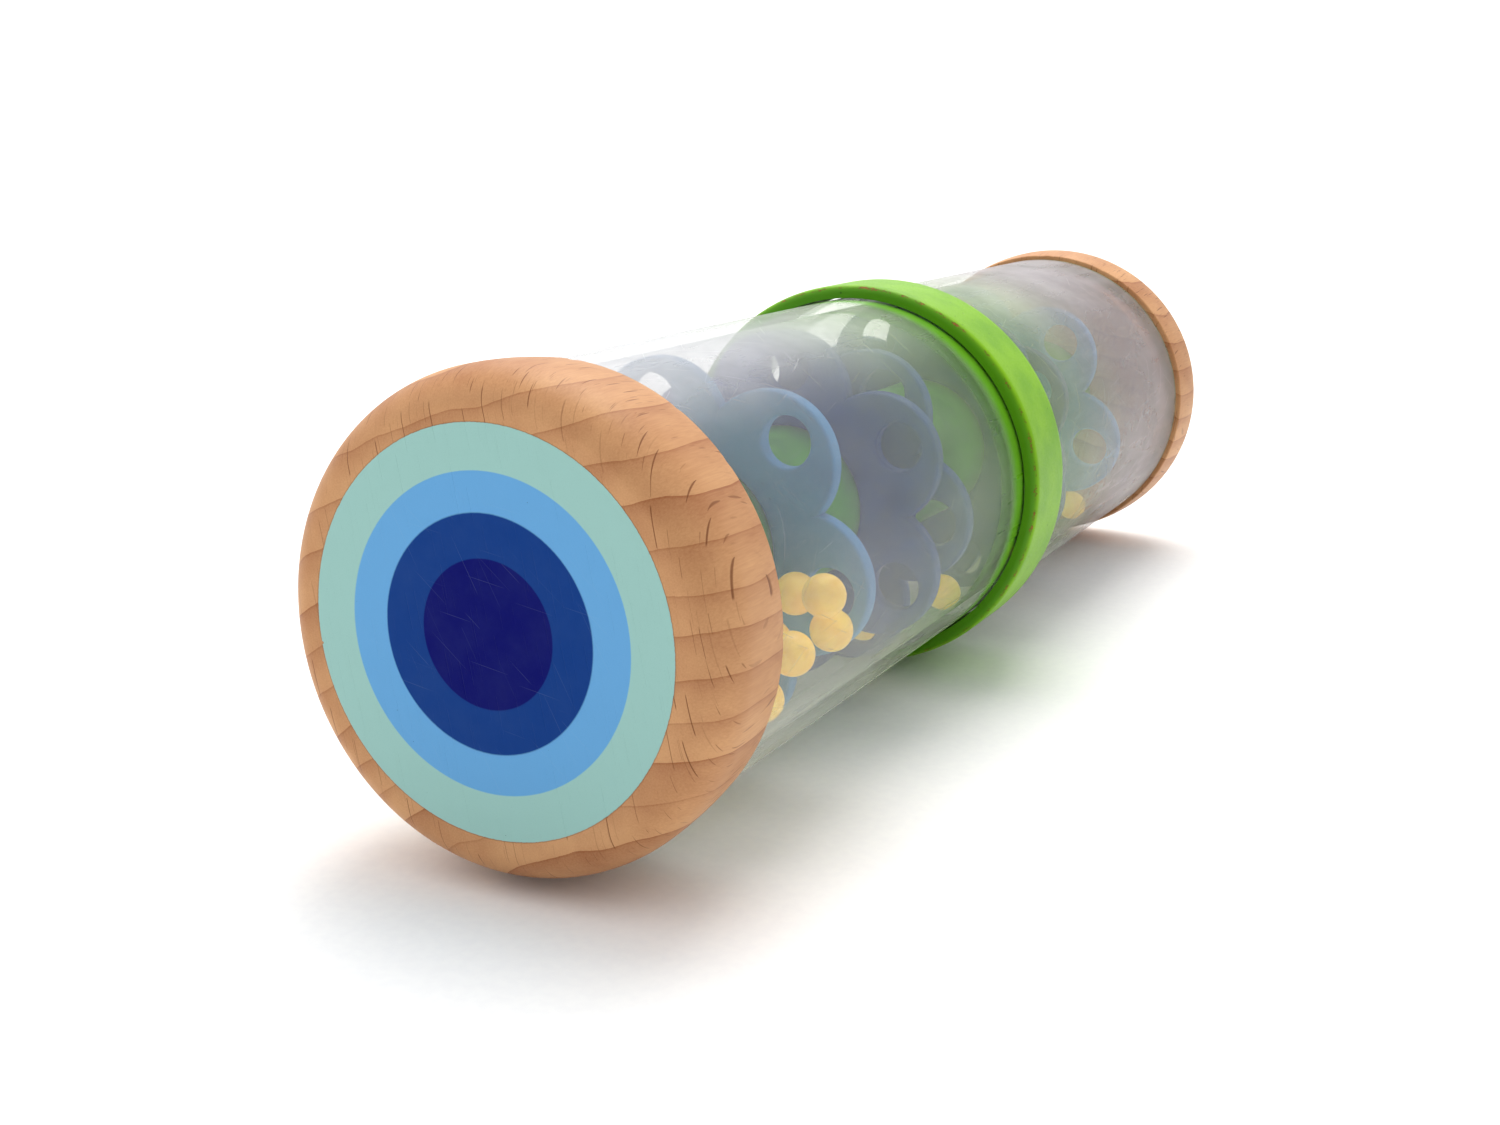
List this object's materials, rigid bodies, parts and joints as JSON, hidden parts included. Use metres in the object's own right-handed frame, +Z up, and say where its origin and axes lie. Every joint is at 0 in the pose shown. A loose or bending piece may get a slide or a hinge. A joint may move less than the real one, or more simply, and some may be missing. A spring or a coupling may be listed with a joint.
{
  "type": "rain stick toy",
  "caption": "Rain stick rattle: clear tube with rounded beech end caps, a green band round the middle, a green core rod with six-lobed blue plates on it, and loose yellow beads inside.",
  "frame": {"origin": "On the ground under the middle of the lying stick, straight below the tube's axis.", "axes": "+Y along the tube from the front cap, with its printed disc, to the rear cap. +Z up. +X to the right when the front cap faces the viewer."},
  "size_m": [0.0564, 0.2, 0.0564],
  "materials": {
    "beech": "satin lacquered beech, with a printed disc on the end face",
    "clear_plastic": "clear, slightly milky plastic",
    "green_paint": "satin paint on wood, worn at the edges",
    "core_green": "satin paint",
    "light_blue": "satin paint",
    "dark_blue": "satin paint",
    "yellow_plastic": "smooth"
  },
  "bodies": {
    "stick": {"front_cap": "beech", "rear_cap": "beech", "clear_tube": "clear_plastic", "middle_ring": "green_paint", "core_rod": "core_green", "light_plate_front": "light_blue", "light_plate_rear": "light_blue", "dark_plate_front_outer": "dark_blue", "dark_plate_front_inner": "dark_blue", "dark_plate_rear_outer": "dark_blue", "dark_plate_rear_inner": "dark_blue"},
    "bead_01": {"bead_01": "yellow_plastic"},
    "bead_02": {"bead_02": "yellow_plastic"},
    "bead_03": {"bead_03": "yellow_plastic"},
    "bead_04": {"bead_04": "yellow_plastic"},
    "bead_05": {"bead_05": "yellow_plastic"},
    "bead_06": {"bead_06": "yellow_plastic"},
    "bead_07": {"bead_07": "yellow_plastic"},
    "bead_08": {"bead_08": "yellow_plastic"},
    "bead_09": {"bead_09": "yellow_plastic"},
    "bead_10": {"bead_10": "yellow_plastic"},
    "bead_11": {"bead_11": "yellow_plastic"},
    "bead_12": {"bead_12": "yellow_plastic"},
    "bead_13": {"bead_13": "yellow_plastic"},
    "bead_14": {"bead_14": "yellow_plastic"},
    "bead_15": {"bead_15": "yellow_plastic"},
    "bead_16": {"bead_16": "yellow_plastic"},
    "bead_17": {"bead_17": "yellow_plastic"},
    "bead_18": {"bead_18": "yellow_plastic"},
    "bead_19": {"bead_19": "yellow_plastic"},
    "bead_20": {"bead_20": "yellow_plastic"}
  },
  "joints": [
    {"name": "bead_01_slide", "type": "slide", "parent": "stick", "child": "bead_01", "axis": [0, 1, 0], "range_m": [-0.0187, 0.0005]},
    {"name": "bead_02_slide", "type": "slide", "parent": "stick", "child": "bead_02", "axis": [0, 1, 0], "range_m": [-0.014, 0.0053]},
    {"name": "bead_03_slide", "type": "slide", "parent": "stick", "child": "bead_03", "axis": [0, 1, 0], "range_m": [-0.0052, 0.0005]},
    {"name": "bead_04_slide", "type": "slide", "parent": "stick", "child": "bead_04", "axis": [0, 1, 0], "range_m": [-0.0081, 0.0052]},
    {"name": "bead_05_slide", "type": "slide", "parent": "stick", "child": "bead_05", "axis": [0, 1, 0], "range_m": [-0.0168, 0.0023]},
    {"name": "bead_06_slide", "type": "slide", "parent": "stick", "child": "bead_06", "axis": [0, 1, 0], "range_m": [-0.0053, 0.014]},
    {"name": "bead_07_slide", "type": "slide", "parent": "stick", "child": "bead_07", "axis": [0, 1, 0], "range_m": [-0.0136, 0.0057]},
    {"name": "bead_08_slide", "type": "slide", "parent": "stick", "child": "bead_08", "axis": [0, 1, 0], "range_m": [-0.0055, 0.0138]},
    {"name": "bead_09_slide", "type": "slide", "parent": "stick", "child": "bead_09", "axis": [0, 1, 0], "range_m": [-0.0115, 0.0077]},
    {"name": "bead_10_slide", "type": "slide", "parent": "stick", "child": "bead_10", "axis": [0, 1, 0], "range_m": [-0.0072, 0.0114]},
    {"name": "bead_11_slide", "type": "slide", "parent": "stick", "child": "bead_11", "axis": [0, 1, 0], "range_m": [-0.0152, 0.0034]},
    {"name": "bead_12_slide", "type": "slide", "parent": "stick", "child": "bead_12", "axis": [0, 1, 0], "range_m": [-0.0119, 0.0233]},
    {"name": "bead_13_slide", "type": "slide", "parent": "stick", "child": "bead_13", "axis": [0, 1, 0], "range_m": [-0.0055, 0.0297]},
    {"name": "bead_14_slide", "type": "slide", "parent": "stick", "child": "bead_14", "axis": [0, 1, 0], "range_m": [-0.0237, 0.0115]},
    {"name": "bead_15_slide", "type": "slide", "parent": "stick", "child": "bead_15", "axis": [0, 1, 0], "range_m": [-0.0092, 0.0092]},
    {"name": "bead_16_slide", "type": "slide", "parent": "stick", "child": "bead_16", "axis": [0, 1, 0], "range_m": [-0.0047, 0.0146]},
    {"name": "bead_17_slide", "type": "slide", "parent": "stick", "child": "bead_17", "axis": [0, 1, 0], "range_m": [-0.0148, 0.0045]},
    {"name": "bead_18_slide", "type": "slide", "parent": "stick", "child": "bead_18", "axis": [0, 1, 0], "range_m": [-0.0167, 0.0026]},
    {"name": "bead_19_slide", "type": "slide", "parent": "stick", "child": "bead_19", "axis": [0, 1, 0], "range_m": [-0.0233, 0.0225]},
    {"name": "bead_20_slide", "type": "slide", "parent": "stick", "child": "bead_20", "axis": [0, 1, 0], "range_m": [-0.003, 0.0225]}
  ]
}
